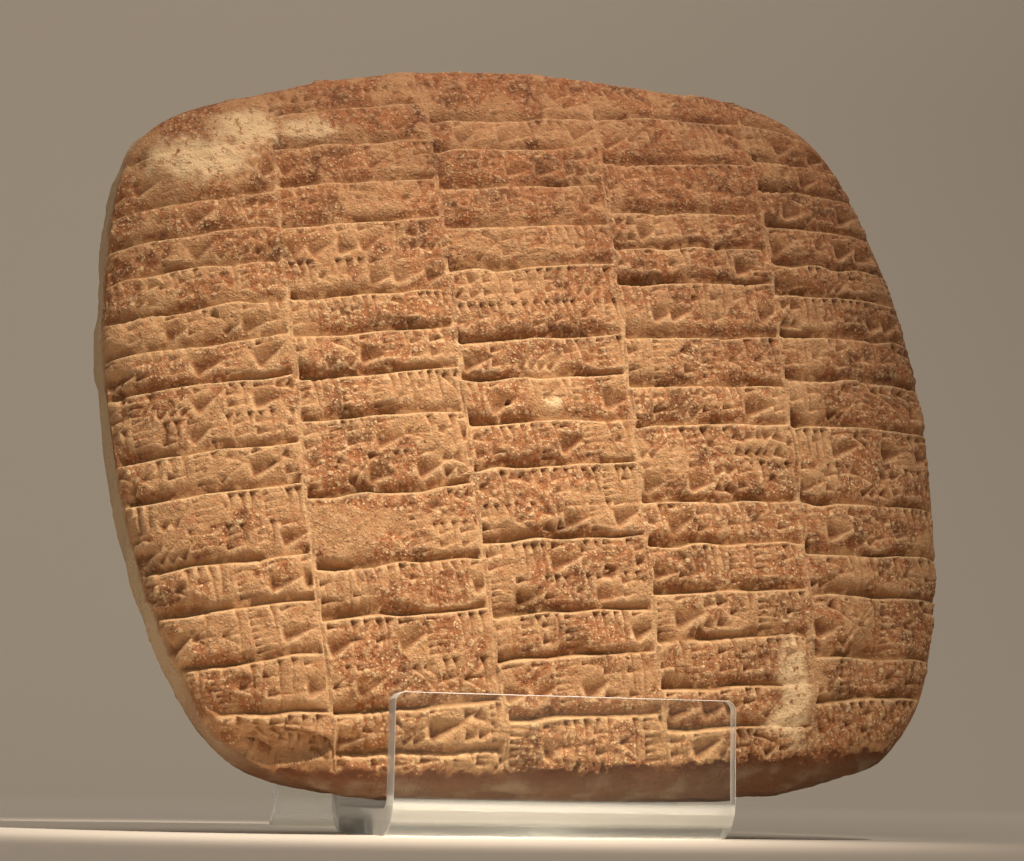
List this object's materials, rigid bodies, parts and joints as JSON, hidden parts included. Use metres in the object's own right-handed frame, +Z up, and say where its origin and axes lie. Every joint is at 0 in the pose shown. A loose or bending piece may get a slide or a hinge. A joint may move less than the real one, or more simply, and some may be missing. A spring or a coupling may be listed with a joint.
{
  "type": "cuneiform tablet on a display easel",
  "caption": "Pillow-shaped clay tablet with ruled columns of impressed script, leaning back in a low clear easel bent from one strip of sheet.",
  "frame": {"origin": "middle of the whole object's footprint, on the surface that the easel stands on", "axes": "+Z up; the written face looks along -Y and leans back towards +Y; +X is to the right of someone reading it"},
  "size_m": [0.1556, 0.0978, 0.1408],
  "materials": {
    "clay": "matte, rough, impressed",
    "acrylic": "clear, polished"
  },
  "bodies": {
    "root": {"tablet": "clay", "easel": "acrylic"}
  },
  "joints": []
}
